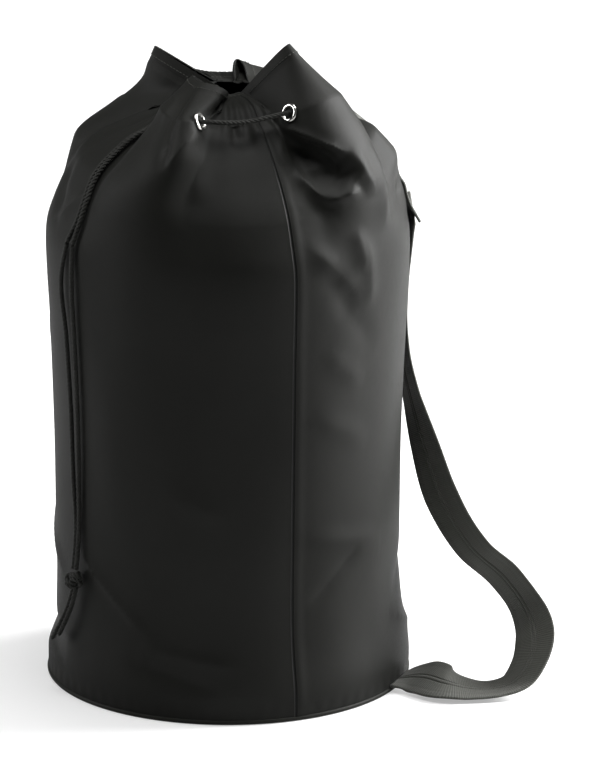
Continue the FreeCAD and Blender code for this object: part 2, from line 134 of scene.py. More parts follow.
# Heights and radii of the wall, from the base up.
WALL_PROFILE = np.array([
    (4, 143.8), (10, 145.6), (22, 146.0), (38, 142.5), (60, 138.8), (90, 137.2), (140, 138.2),
    (200, 139.0), (250, 140.2), (300, 142.0), (340, 144.8), (365, 146.0), (381, 145.0)]) * MM
# Radii and heights of each pleat's fold up to the cord, and of each ear's ridge.
FOLD_RUN = np.array([(145, 381), (131, 414), (107, 445), (72, 480)]) * MM
RIDGE_RUN = {
    "front_right": np.array([(145, 381), (140, 425), (126, 463), (103, 497)]) * MM,
    "front_left": np.array([(145, 381), (138, 425), (121, 461), (100, 488)]) * MM,
    "rear_left": np.array([(145, 381), (141, 425), (129, 461), (116, 491)]) * MM,
    "rear_right": np.array([(145, 381), (137, 425), (115, 457), (88, 475)]) * MM,
}
WALL_ROWS = 110
NECK_ROWS = 81
VALLEY_COLUMNS = 52
EAR_COLUMNS = 60
EAR_OVERHANG = 0.25
# The bearings, half width in degrees and columns of the two kinds of sector.
KINDS = {"valley": (VALLEYS, VALLEY_HALF, VALLEY_COLUMNS), "ear": (EARS, EAR_HALF, EAR_COLUMNS)}


def panel_edge(lower_run, end, share):
    """A line up a neck panel: a curve to the cinch, then straight on to the hem."""
    lower = spline(lower_run, np.clip(share / CINCH_SHARE, 0, 1))
    rest = np.clip((share - CINCH_SHARE) / (1 - CINCH_SHARE), 0, 1)[..., None]
    return lower * (1 - rest) + np.asarray(end) * rest


def ear_points(name, place, share):
    """An ear's cloth in its own frame: place runs across from -1 to 1, share up from 0 to 1."""
    tip_out, tip_side, tip_height = (v * MM for v in EAR_TIPS[name])
    fold = panel_edge(FOLD_RUN, (HEM_RADIUS, HEM_HEIGHT), share)
    ridge = panel_edge(RIDGE_RUN[name], (tip_out, tip_height), share)
    half = math.radians(EAR_HALF)
    foot_x = fold[..., 0] * math.cos(half)
    foot_y = fold[..., 0] * math.sin(half)
    drawn = smooth(share / CINCH_SHARE)
    above = smooth((share - CINCH_SHARE) / (1 - CINCH_SHARE))
    power = 1 + (EAR_ROUND[name] - 1) * smooth((share - 0.3) / 0.3)
    angle = place * math.pi / 2
    sine = np.sign(angle) * np.abs(np.sin(angle)) ** power
    cosine = np.maximum(np.cos(angle), 0) ** power
    round_across = sine * (1 + EAR_OVERHANG * np.cos(angle) ** 2)
    across = (1 - drawn) * place + drawn * round_across
    out = (1 - drawn) * (1 - place * place) + drawn * cosine
    x = foot_x + (ridge[..., 0] - foot_x) * out
    lap = EAR_LAP[name] * MM * np.maximum(sine, 0) * np.sqrt(np.maximum(cosine, 0))
    y = foot_y * across + (tip_side * out + lap) * above
    z = fold[..., 1] + (ridge[..., 1] - fold[..., 1]) * out
    return np.stack([x, y, z], axis=-1)


def valley_points(place, share, tuck=0.0):
    """A valley's cloth in its own frame: place as for an ear, tuck a distance beyond the fold."""
    fold = panel_edge(FOLD_RUN, (HEM_RADIUS, HEM_HEIGHT), share)
    half = math.radians(VALLEY_HALF)
    fold_x = fold[..., 0] * math.cos(half)
    fold_y = fold[..., 0] * math.sin(half)
    y = fold_y * place
    x = fold_x + PLEAT_LEAN / 2 * fold_y * (1 - place ** 2)
    return np.stack([x - PLEAT_LEAN * tuck, y + np.sign(place) * tuck, fold[..., 1]], axis=-1)


def shell_grid():
    """The whole cloth as rows of points: the wall first, then the neck. Also each column's bearing."""
    neck_share = np.linspace(0, 1, NECK_ROWS)
    bearings = []
    neck = []
    for kind, name in SECTORS:
        centres, half, count = KINDS[kind]
        centre = centres[name]
        place = np.linspace(-1, 1, count + 1)[:-1]
        share, across = np.meshgrid(neck_share, place, indexing="ij")
        points = valley_points(across, share) if kind == "valley" else ear_points(name, across, share)
        neck.append(to_world(points, centre))
        bearings.append(centre + half * place)
    bearings = np.concatenate(bearings)
    neck = np.concatenate(neck, axis=1)
    foot = WALL_PROFILE[0, 0]
    heights = foot + (NECK_START - foot) * np.linspace(0, 1, WALL_ROWS + 1)[:-1]
    radii = np.interp(heights, WALL_PROFILE[:, 0], WALL_PROFILE[:, 1])
    radii = np.convolve(np.pad(radii, 4, mode="edge"), np.ones(9) / 9, mode="valid")
    wall = polar(radii[:, None], bearings[None, :], heights[:, None])
    return np.concatenate([wall, settle(neck)], axis=0), bearings


# How the drawn cord pulls the neck out of round: bearing, spread, share of the radius taken
# off, and degrees turned.
PULLS = [(162, 32, 0.60, 0.0), (205, 18, 0.25, 0.0), (85, 36, 0.24, 0.0),
         (-118, 26, 0.0, 5.0), (-62, 20, 0.0, -2.5)]
# Heights above the shoulder over which the pull builds up.
PULL_START = 50 * MM
PULL_RUN = 54 * MM


def settle(points):
    """Moves points of the neck to where the cord has drawn them."""
    turn = np.degrees(np.arctan2(points[..., 1], points[..., 0]))
    radius = np.hypot(points[..., 0], points[..., 1])
    drawn = smooth((points[..., 2] - SHOULDER - PULL_START) / PULL_RUN)
    shrink = np.zeros(turn.shape)
    twist = np.zeros(turn.shape)
    for bearing, spread, taken, turned in PULLS:
        near = np.exp(-(angle_between(turn, bearing) / spread) ** 2) * drawn
        shrink += taken * near
        twist += turned * near
    return polar(radius * (1 - shrink), turn + twist, points[..., 2])


def grid_normals(grid, ring=True):
    """Outward normals of a grid whose rows go up and whose columns go round by bearing."""
    up = np.gradient(grid, axis=0)
    if ring:
        padded = np.concatenate([grid[:, -1:], grid, grid[:, :1]], axis=1)
        across = (padded[:, 2:] - padded[:, :-2]) / 2
    else:
        across = np.gradient(grid, axis=1)
    normals = np.cross(across, up)
    return normals / np.maximum(np.linalg.norm(normals, axis=-1, keepdims=True), 1e-12)


def soften(grid, weight, rounds):
    """Rounds off creases where the weight is above zero."""
    for _ in range(rounds):
        up = np.concatenate([grid[1:], grid[-1:]], axis=0)
        down = np.concatenate([grid[:1], grid[:-1]], axis=0)
        left = np.roll(grid, 1, axis=1)
        right = np.roll(grid, -1, axis=1)
        mean = (up + down + left + right) / 4
        grid = grid + (mean - grid) * weight[..., None]
    return grid


def lengths_up(grid):
    """The length of cloth from the base up to each point."""
    steps = np.linalg.norm(np.diff(grid, axis=0), axis=-1)
    return np.concatenate([np.zeros((1, grid.shape[1])), np.cumsum(steps, axis=0)], axis=0)


# Soft folds in the cloth: each runs between two (bearing, height) places, stands out by a
# height (negative for a dent), has a width, and a sharpness from 0 (soft) to 1 (a crease).
FOLDS = [
    # front left ear: a squared fold with a pocket of shade beside it, under the eyelet
    ((-128, 500), (-124, 456), -5.5, 5, 0.6),
    ((-122, 456), (-115, 480), 3.5, 5, 0.6),
    ((-113, 466), (-112, 430), 2.5, 9, 0.2),
    ((-100, 474), (-86, 470), -4, 7, 0.0),
    # front right ear: a deep hollow right of the eyelet, with a lip below it
    ((-67, 477), (-53, 459), 5.5, 4.5, 0.8),
    ((-67, 465), (-56, 450), -11, 10, 0.0),
    ((-59, 450), (-54, 437), -8, 11, 0.0),
    ((-70, 442), (-62, 423), 4.5, 6, 0.5),
    ((-62, 423), (-52, 430), 5, 6, 0.5),
    ((-50, 458), (-45, 425), 4.5, 8, 0.4),
    ((-38, 452), (-40, 396), 3, 9, 0.4),
    ((-28, 440), (-32, 396), -2.5, 9, 0.1),
    ((-12, 456), (-8, 414), 15, 25, 0.0),
    ((-10, 412), (-4, 392), 5, 15, 0.0),
    ((-54, 398), (-52, 366), 2.5, 9, 0.3),
    # cord side: a slanting crease from the cord round to the left
    ((150, 474), (168, 434), 7, 10, 0.4),
    ((172, 424), (184, 396), -4, 9, 0.1),
    ((-160, 420), (-172, 392), 3, 7, 0.5),
    # strap side and rear
    ((14, 466), (22, 424), -4, 12, 0.2),
    ((30, 462), (36, 438), -8, 13, 0.0),
    ((52, 476), (56, 444), 6, 8, 0.7),
    ((78, 466), (74, 424), 3.5, 10, 0.3),
    ((97, 468), (102, 430), -3.5, 11, 0.2),
    ((112, 470), (118, 444), -7, 13, 0.0),
    ((126, 456), (120, 426), 6, 8, 0.7),
    # the wall: slack diagonal folds, creases near the base and a dent beside the seam
    ((-72, 392), (-54, 346), 2.2, 9, 0.3),
    ((-66, 370), (-56, 338), -2.0, 12, 0.0),
    ((-66, 300), (-52, 272), 1.3, 10, 0.1),
    ((-70, 250), (-50, 222), 1.1, 10, 0.1),
    ((-62, 346), (-46, 300), -1.5, 12, 0.1),
    ((-50, 386), (-48, 336), 2.0, 9, 0.3),
    ((-74, 150), (-40, 132), 1.5, 10, 0.2),
    ((-70, 96), (-52, 130), -1.8, 8, 0.4),
    ((-132, 44), (-104, 30), -2.4, 7, 0.4),
    ((-128, 58), (-96, 46), 1.8, 6, 0.6),
    ((-156, 120), (-126, 66), 2.0, 7, 0.7),
    ((-120, 190), (-100, 170), 1.4, 12, 0.3),
    ((-30, 60), (-4, 36), 2.4, 8, 0.5),
    ((-26, 84), (0, 104), -2.0, 10, 0.3),
    ((10, 210), (32, 150), 2.0, 9, 0.4),
    ((28, 320), (56, 280), 2.0, 8, 0.5),
    ((60, 90), (88, 60), 2.2, 8, 0.5),
    ((96, 250), (120, 200), 2.0, 9, 0.4),
    ((112, 64), (140, 40), -2.2, 8, 0.4),
    ((150, 330), (168, 280), 2.0, 8, 0.5),
    ((164, 140), (188, 96), 2.0, 9, 0.5),
    ((176, 58), (204, 42), 1.8, 9, 0.2),
    ((150, 42), (192, 38), -5, 17, 0.0),
]


def angle_between(a, b):
    return (a - b + 180.0) % 360.0 - 180.0


def fold_height(bearing, height):
    """How far the cloth stands out at each bearing and height, from the folds."""
    total = np.zeros(np.broadcast(bearing, height).shape)
    for (b0, z0), (b1, z1), rise, width, sharp in FOLDS:
        mid = (z0 + z1) / 2 * MM
        reach = BAG_RADIUS if mid < SHOULDER else BAG_RADIUS - 0.55 * (mid - SHOULDER)
        arc = math.radians(1) * reach
        run = np.array([angle_between(b1, b0) * arc, (z1 - z0) * MM])
        length = np.linalg.norm(run)
        along_x, along_z = run / length
        dx = angle_between(bearing, b0) * arc
        dz = height - z0 * MM
        along = (dx * along_x + dz * along_z) / length
        aside = (dx * along_z - dz * along_x) / (width * MM)
        aside = np.hypot(aside, np.maximum(0, np.abs(along - 0.5) - 0.5) * length / (width * MM))
        soft = np.exp(-aside ** 2)
        crease = np.exp(-1.6 * np.abs(aside))
        fade = smooth(1.35 - np.abs(along - 0.5) * 1.9)
        total += rise * MM * fade * (soft * (1 - sharp) + crease * sharp)
    return total


def slack(bearing, height):
    """Broad, gentle unevenness of a hanging cloth wall."""
    turn = np.radians(bearing)
    total = np.zeros(np.broadcast(bearing, height).shape)
    rng = np.random.default_rng(7)
    for _ in range(26):
        around = rng.integers(2, 17)
        rise = rng.uniform(-34, 34)
        phase = rng.uniform(0, 2 * math.pi)
        total += np.sin(around * turn + rise * height + phase) / (1.5 + 0.35 * around)
    return total * 0.55 * MM


def seam_profile(bearing):
    """The low welt that the seam allowance makes beside each body seam."""
    total = np.zeros_like(bearing)
    for seam in (SEAM_BEARING, SEAM_BEARING + 180):
        away = np.radians(angle_between(bearing, seam)) * BAG_RADIUS
        total += 0.7 * MM * np.exp(-((away - 4.5 * MM) / (4.0 * MM)) ** 2)
    return total


# -------- meshes

def new_object(name, verts, faces, normals, coords, material):
    """An object from arrays, with smooth shading, and cloth coordinates in metres as its UV map."""
    mesh = bpy.data.meshes.new(name)
    mesh.from_pydata([tuple(v) for v in verts], [], [tuple(f) for f in faces])
    mesh.update()
    mesh.polygons.foreach_set("use_smooth", [True] * len(mesh.polygons))
    if coords is not None:
        layer = mesh.uv_layers.new(name="cloth")
        loops = np.zeros(len(mesh.loops), int)
        mesh.loops.foreach_get("vertex_index", loops)
        layer.data.foreach_set("uv", np.asarray(coords, np.float32)[loops].ravel())
    if normals is not None:
        mesh.normals_split_custom_set_from_vertices([tuple(n) for n in normals])
    mesh.materials.append(material)
    obj = bpy.data.objects.new(name, mesh)
    bpy.context.scene.collection.objects.link(obj)
    return obj


def quads(rows, columns, ring=False):
    """Faces of a grid of rows and columns, facing outwards when columns run anticlockwise."""
    faces = []
    last = columns if ring else columns - 1
    for i in range(rows - 1):
        for j in range(last):
            k = (j + 1) % columns
            faces.append((i * columns + j, i * columns + k, (i + 1) * columns + k, (i + 1) * columns + j))
    return faces


def sheet_piece(name, grid, normals, coords, thick, material):
    """A closed thin cloth piece from a grid: its outside, its inside and its four edges."""
    rows, columns = grid.shape[:2]
    thick = np.broadcast_to(np.asarray(thick, float), (rows, columns))
    inner = grid - normals * thick[..., None]
    count = rows * columns
    verts = np.concatenate([grid.reshape(-1, 3), inner.reshape(-1, 3)])
    faces = quads(rows, columns)
    faces += [tuple(count + v for v in face[::-1]) for face in quads(rows, columns)]
    border = list(range(columns))
    border += [i * columns + columns - 1 for i in range(1, rows)]
    border += [(rows - 1) * columns + j for j in range(columns - 2, -1, -1)]
    border += [i * columns for i in range(rows - 2, 0, -1)]
    for a, b in zip(border, border[1:] + border[:1]):
        faces.append((b, a, count + a, count + b))
    both = np.concatenate([normals.reshape(-1, 3), -normals.reshape(-1, 3)])
    uv = np.concatenate([coords.reshape(-1, 2)] * 2)
    return new_object(name, verts, faces, both, uv, material)


def resample(points, step):
    """Evenly spaced points along the smooth curve through the given ones."""
    fine = spline(points, np.linspace(0, 1, 400))
    steps = np.linalg.norm(np.diff(fine, axis=0), axis=1)
    along = np.concatenate([[0.0], np.cumsum(steps)])
    count = max(4, int(along[-1] / step))
    want = np.linspace(0, along[-1], count)
    return np.stack([np.interp(want, along, fine[:, k]) for k in range(3)], axis=-1), want


def frames_along(path):
    """Tangent and two cross directions at each point, carried along without twisting."""
    tangent = np.gradient(path, axis=0)
    tangent /= np.linalg.norm(tangent, axis=1, keepdims=True)
    side = np.zeros_like(path)
    start = np.array([0.0, 0.0, 1.0]) if abs(tangent[0, 2]) < 0.9 else np.array([1.0, 0.0, 0.0])
    for i, t in enumerate(tangent):
        start = start - t * np.dot(start, t)
        start = start / np.linalg.norm(start)
        side[i] = start
    return tangent, side, np.cross(tangent, side)


def tube(path, radius, sides, side, other):
    """Vertices and faces of a closed tube with rounded-off ends."""
    count = len(path)
    radius = np.broadcast_to(radius, (count,)).copy()
    radius[0] *= 0.55
    radius[-1] *= 0.55
    angle = np.linspace(0, 2 * math.pi, sides, endpoint=False)
    cosine, sine = (f(angle)[None, :, None] for f in (np.cos, np.sin))
    ring = cosine * side[:, None, :] + sine * other[:, None, :]
    verts = (path[:, None, :] + ring * radius[:, None, None]).reshape(-1, 3)
    faces = []
    for i in range(count - 1):
        for j in range(sides):
            k = (j + 1) % sides
            faces.append((i * sides + j, i * sides + k, (i + 1) * sides + k, (i + 1) * sides + j))
    faces.append(tuple(range(sides))[::-1])
    faces.append(tuple((count - 1) * sides + j for j in range(sides)))
    return verts, faces


def twisted_cord(paths, name, material, radius=CORD_RADIUS, pitch=11 * MM):
    """Three-strand laid cord along each path, as one object."""
    verts, faces, coords, total = [], [], [], 0
    for path in paths:
        line, along = resample(path, 1.0 * MM)
        _, side, other = frames_along(line)
        for strand in range(3):
            turn = 2 * math.pi * (along / pitch + strand / 3)
            offset = np.cos(turn)[:, None] * side + np.sin(turn)[:, None] * other
            centre = line + offset * radius * 0.48
            _, a, b = frames_along(centre)
            v, f = tube(centre, radius * 0.56, 8, a, b)
            verts.append(v)
            faces += [tuple(i + total for i in face) for face in f]
            around = np.tile(np.arange(8) / 8 * radius * 3, len(centre))
            coords.append(np.stack([around, np.repeat(along, 8)], axis=-1))
            total += len(v)
    return new_object(name, np.concatenate(verts), faces, None, np.concatenate(coords), material)


def lathe(name, profile, places, material, segments=48):
    """Turned pieces, one at each (centre, axis) place, from a closed (radius, height) profile."""
    verts = []
    faces = []
    profile = np.asarray(profile)
    count = len(profile)
    angle = np.linspace(0, 2 * math.pi, segments, endpoint=False)
    for centre, axis in places:
        axis = Vector(axis).normalized()
        a = axis.orthogonal().normalized()
        b = axis.cross(a)
        base = len(verts)
        for t in angle:
            spoke = a * math.cos(t) + b * math.sin(t)
            for r, h in profile:
                verts.append(Vector(centre) + spoke * r + axis * h)
        for i in range(segments):
            here = base + i * count
            there = base + (i + 1) % segments * count
            for j in range(count):
                k = (j + 1) % count
                faces.append((here + j, there + j, there + k, here + k))
    return new_object(name, verts, faces, None, None, material)


# -------- materials

class Nodes:
    """Short names for building a node tree."""

    def __init__(self, name, slot):
        self.material = bpy.data.materials.new(name)
        self.material.use_nodes = True
        self.slot = slot
        self.tree = self.material.node_tree
        self.shader = self.tree.nodes["Principled BSDF"]

    def add(self, kind, **inputs):
        node = self.tree.nodes.new(kind)
        for key, value in inputs.items():
            self.set(node.inputs[key.replace("_", " ")], value)
        return node

    def set(self, socket, value):
        if isinstance(value, bpy.types.NodeSocket):
            self.tree.links.new(value, socket)
        else:
            socket.default_value = value

    def place(self):
        return self.add("ShaderNodeTexCoord").outputs["Object"]

    def cloth(self):
        node = self.add("ShaderNodeUVMap")
        node.uv_map = "cloth"
        return node.outputs[0]

    def math(self, operation, *values):
        node = self.tree.nodes.new("ShaderNodeMath")
        node.operation = operation
        for socket, value in zip(node.inputs, values):
            self.set(socket, value)
        return node.outputs[0]

    def mix(self, share, a, b):
        node = self.tree.nodes.new("ShaderNodeMix")
        node.data_type = "RGBA"
        self.set(node.inputs[0], share)
        self.set(node.inputs[6], a)
        self.set(node.inputs[7], b)
        return node.outputs[2]

    def range(self, value, low, high):
        return self.add("ShaderNodeMapRange", Value=value, To_Min=low, To_Max=high).outputs[0]

    def noise(self, vector, scale, detail=3.0):
        return self.add("ShaderNodeTexNoise", Vector=vector, Scale=scale, Detail=detail).outputs[0]

    def bands(self, vector, direction, period):
        node = self.add("ShaderNodeTexWave", Vector=vector, Scale=2 * math.pi / (20 * period))
        node.bands_direction = direction
        return node.outputs["Fac"]

    def bump(self, height, distance, strength=1.0, below=None):
        node = self.add("ShaderNodeBump", Height=height, Distance=distance, Strength=strength)
        if below is not None:
            self.set(node.inputs["Normal"], below)
        return node.outputs[0]

    def finish(self, **inputs):
        for key, value in inputs.items():
            self.set(self.shader.inputs[key.replace("_", " ")], value)
        return self.material


def grey(value, warm=(0.97, 1.0, 0.82)):
    return (value * warm[0], value * warm[1], value * warm[2], 1.0)


def seam_mask(n, weave_at):
    """1 along the closed groove of each body seam, 0 elsewhere, from the cloth coordinates."""
    around = n.add("ShaderNodeSeparateXYZ", Vector=weave_at).outputs[0]
    quarter = math.pi * BAG_RADIUS / 2
    from_seam = n.math("SUBTRACT", around, math.radians(SEAM_BEARING) * BAG_RADIUS)
    away = n.math("ABSOLUTE", n.math("WRAP", from_seam, quarter, -quarter))
    line = n.add("ShaderNodeMapRange", Value=away, From_Min=0.4 * MM, From_Max=1.5 * MM, To_Min=1.0, To_Max=0.0)
    line.interpolation_type = "SMOOTHSTEP"
    return line.outputs[0]


def cloth_material(name="bag_cloth", tone=0.0068):
    """Coated plain-weave polyester: fine weave, faint mottling and a soft broad shine."""
    n = Nodes(name, "bag_fabric")
    place = n.place()
    weave_at = n.cloth()
    weft = n.bands(weave_at, "X", 0.55 * MM)
    warp = n.bands(weave_at, "Y", 0.55 * MM)
    weave = n.math("MULTIPLY", weft, warp)
    mottle = n.noise(place, 26.0, 4.0)
    fine = n.noise(place, 420.0, 2.0)
    dust = n.noise(place, 9.0, 2.0)
    colour = n.mix(n.range(mottle, 0.0, 1.0), grey(tone * 0.86), grey(tone * 1.16))
    colour = n.mix(n.math("MULTIPLY", fine, 0.35), colour, grey(tone * 1.5))
    colour = n.mix(n.math("MULTIPLY", weave, 0.22), colour, grey(tone * 0.55))
    seam = seam_mask(n, weave_at)
    colour = n.mix(n.math("MULTIPLY", seam, 0.8), colour, grey(tone * 0.2))
    rough = n.range(n.math("ADD", n.math("MULTIPLY", dust, 0.6), n.math("MULTIPLY", fine, 0.4)), 0.46, 0.66)
    slub = n.bump(n.noise(place, 190.0, 3.0), 0.25 * MM, 0.35)
    slub = n.bump(n.math("SUBTRACT", 1.0, seam), 1.2 * MM, 1.0, slub)
    grain = n.bump(weave, 0.10 * MM, 0.55, slub)
    return n.finish(Base_Color=colour, Roughness=rough, Normal=grain, Specular_IOR_Level=0.14,
                    Sheen_Weight=0.02, Sheen_Roughness=0.5)


def webbing_material():
    """Ribbed webbing: close ribs across the strap and a fine warp along it."""
    n = Nodes("strap_webbing", "webbing")
    at = n.cloth()
    place = n.place()
    ribs = n.bands(at, "Y", 1.5 * MM)
    warp = n.bands(at, "X", 0.8 * MM)
    mottle = n.noise(place, 60.0, 3.0)
    fine = n.noise(place, 900.0, 2.0)
    colour = n.mix(ribs, grey(0.029), grey(0.062))
    colour = n.mix(n.math("MULTIPLY", warp, 0.3), colour, grey(0.030))
    colour = n.mix(n.math("MULTIPLY", mottle, 0.3), colour, grey(0.062))
    raised = n.bump(ribs, 0.28 * MM, 0.8, n.bump(warp, 0.10 * MM, 0.5))
    return n.finish(Base_Color=colour, Roughness=n.range(fine, 0.55, 0.8), Normal=raised,
                    Specular_IOR_Level=0.4, Sheen_Weight=0.2)


def cord_material():
    """Filament yarn that runs along each strand of the laid cord."""
    n = Nodes("laid_cord", "cord")
    at = n.cloth()
    yarn = n.bands(at, "DIAGONAL", 0.5 * MM)
    fine = n.noise(n.place(), 700.0, 2.0)
    colour = n.mix(yarn, grey(0.005), grey(0.015))
    colour = n.mix(n.math("MULTIPLY", fine, 0.3), colour, grey(0.022))
    return n.finish(Base_Color=colour, Roughness=0.62, Normal=n.bump(yarn, 0.15 * MM, 0.8),
                    Sheen_Weight=0.04, Specular_IOR_Level=0.25)


def nickel_material():
    """Bright nickel plate with faint polishing haze."""
    n = Nodes("nickel_plate", "eyelet")
    place = n.place()
    haze = n.noise(place, 500.0, 3.0)
    wear = n.noise(place, 160.0, 2.0)
    colour = n.mix(wear, (0.70, 0.69, 0.66, 1.0), (0.86, 0.85, 0.82, 1.0))
    return n.finish(Base_Color=colour, Metallic=1.0, Roughness=n.range(haze, 0.10, 0.26),
                    Normal=n.bump(haze, 0.02 * MM, 0.3))


def tape_material():
    """Woven binding tape."""
    n = Nodes("binding_tape", "tape")
    place = n.place()
    ribs = n.bands(place, "Z", 0.9 * MM)
    fine = n.noise(place, 600.0, 2.0)
    colour = n.mix(ribs, grey(0.018), grey(0.034))
    return n.finish(Base_Color=colour, Roughness=n.range(fine, 0.65, 0.9),
                    Normal=n.bump(ribs, 0.12 * MM, 0.6))


def filler_material():
    """The plain extruded filler inside the piping."""
    n = Nodes("piping_filler", "filler")
    place = n.place()
    cloud = n.noise(place, 300.0, 2.0)
    colour = n.mix(cloud, (0.55, 0.55, 0.52, 1.0), (0.68, 0.68, 0.65, 1.0))
    return n.finish(Base_Color=colour, Roughness=n.range(cloud, 0.4, 0.55))


def thread_material():
    """Stitching thread, a little lighter than the cloth."""
    n = Nodes("thread", "bag_fabric")
    place = n.place()
    twist = n.noise(place, 1500.0, 2.0)
    colour = n.mix(twist, grey(0.020), grey(0.055))
    return n.finish(Base_Color=colour, Roughness=0.6, Normal=n.bump(twist, 0.1 * MM, 0.6))


# -------- the bag's cloth

# The column of cloth that lies on the front seam.
SEAM_COLUMN = 39
COLUMNS = 4 * (VALLEY_COLUMNS + EAR_COLUMNS)
HEM_BAND = 9 * MM
TUCK_COLUMNS = 8
# How far above the shoulder the pleats begin.
PLEAT_START = 14 * MM
# How far across an ear each of its two eyelets sits.
EYELET_PLACES = {"front_right": (-0.80, 0.80), "rear_right": (-0.80, 0.80),
                 "rear_left": (-0.80, 1.0), "front_left": (-0.92, 0.80)}


def eyelet_places(name):
    """The centre and outward axis of an ear's two eyelets, on its cloth."""
    def spot(place, share):
        return settle(to_world(ear_points(name, np.array(place), np.array(share)), EARS[name]))

    step = 0.02
    places = []
    for place in EYELET_PLACES[name]:
        across = spot(place + step, CINCH_SHARE) - spot(place - step, CINCH_SHARE)
        up = spot(place, CINCH_SHARE + step / 2) - spot(place, CINCH_SHARE - step / 2)
        axis = np.cross(across, up)
        places.append((spot(place, CINCH_SHARE), axis / np.linalg.norm(axis)))
    return places


EYELETS = {name: eyelet_places(name) for name in EARS}


def build_shell():
    """The finished outside surface of all the cloth, with its normals and cloth coordinates."""
    grid, bearings = shell_grid()
    rows = grid.shape[0]
    first = WALL_ROWS
    kind = np.concatenate([np.full(KINDS[k][2], k == "valley") for k, _ in SECTORS])
    # Round off the shoulder, and the foot of each pleat.
    weight = np.zeros(grid.shape[:2])
    weight[first - 14:first + 16] = 0.9
    fade = smooth((np.arange(rows) - first) / 10.0) * smooth((rows - 3 - np.arange(rows)) / 6.0)
    for start in np.flatnonzero(np.diff(np.concatenate([kind[-1:], kind]).astype(int))):
        for near in (-2, -1, 0, 1, 2):
            column = (start + near) % COLUMNS
            weight[:, column] = np.maximum(weight[:, column], 0.35 * fade)
    grid = soften(grid, weight, 14)

    normals = grid_normals(grid)
    turn = np.degrees(np.arctan2(grid[..., 1], grid[..., 0]))
    height = grid[..., 2]
    loose = smooth((HEM_HEIGHT + 40 * MM - height) / (60 * MM))
    rise = fold_height(turn, height) + slack(turn, height) * loose
    # Gathers and a pinch where the cord crosses a valley, and a dome above it.
    share = np.clip((np.arange(rows) - first) / (rows - 1.0 - first), 0, 1)[:, None]
    in_valley = kind[None, :].astype(float)
    gather = np.exp(-((share - CINCH_SHARE) / 0.13) ** 2) * in_valley
    rise += gather * 0.9 * MM * np.sin(np.radians(bearings)[None, :] * 34 + 1.3 * np.sin(share * 9))
    rise -= in_valley * 3.0 * MM * np.exp(-((share - CINCH_SHARE) / 0.035) ** 2)
    rise += in_valley * 5.0 * MM * smooth((share - CINCH_SHARE) / 0.1) * smooth((1.02 - share) / 0.15)
    # Keep the cloth flat under the eyelets, and let it settle on the base seam.
    for places in EYELETS.values():
        for centre, _ in places:
            away = np.linalg.norm(grid - np.asarray(centre), axis=-1)
            rise *= smooth((away - 7 * MM) / (9 * MM))
    rise *= smooth((height - 4 * MM) / (10 * MM))
    # No dent goes as deep as the tape inside the base seam.
    rise = np.maximum(rise, -0.5 * MM - 8 * MM * smooth((height - 22 * MM) / (16 * MM)))
    pucker = np.exp(-((height - 9 * MM) / (6 * MM)) ** 2)
    rise += pucker * 0.15 * MM * np.sin(np.radians(bearings)[None, :] * 72)
    rise += seam_profile(np.broadcast_to(bearings, rise.shape)) * smooth((1 - share) / 0.1)
    # The hem is a folded band, so it stands a little proud of the cloth below it.
    up = lengths_up(grid)
    to_hem = up[-1:] - up
    rise += 0.55 * MM * smooth((HEM_BAND + 1 * MM - to_hem) / (1.6 * MM))
    grid = grid + normals * rise[..., None]
    normals = grid_normals(grid)
    coords = np.stack([np.broadcast_to(np.radians(bearings) * BAG_RADIUS, up.shape), up], axis=-1)
    return grid, normals, coords, to_hem


def fasten(piece, body, slot, *nodes):
    """Puts a piece on a body, in place of the CAD nodes named. The slot argument is not used."""
    if body:
        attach(piece, body)
    if nodes:
        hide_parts(*nodes)


def columns_between(start, end):
    return [c % COLUMNS for c in range(start, end + 1)]


def ride_neck(piece):
    """Cloth of the neck: bakes the piece's placement into its mesh."""
    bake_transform(piece)


def stitch_line(name, line, normals, material, pitch=3.4 * MM):
    """A row of thread stitches along a line on the cloth."""
    line, _ = resample(line + normals * 0.12 * MM, 1.1 * MM)
    verts, faces, total = [], [], 0
    step = int(round(pitch / (1.1 * MM)))
    for start in range(1, len(line) - step, step):
        dash = line[start:start + step]
        _, side, other = frames_along(dash)
        v, f = tube(dash, np.array([0.25] + [0.38] * (len(dash) - 2) + [0.25]) * MM, 6, side, other)
        verts.append(v)
        faces += [tuple(i + total for i in face) for face in f]
        total += len(v)
    return new_object(name, np.concatenate(verts), faces, None, None, material)


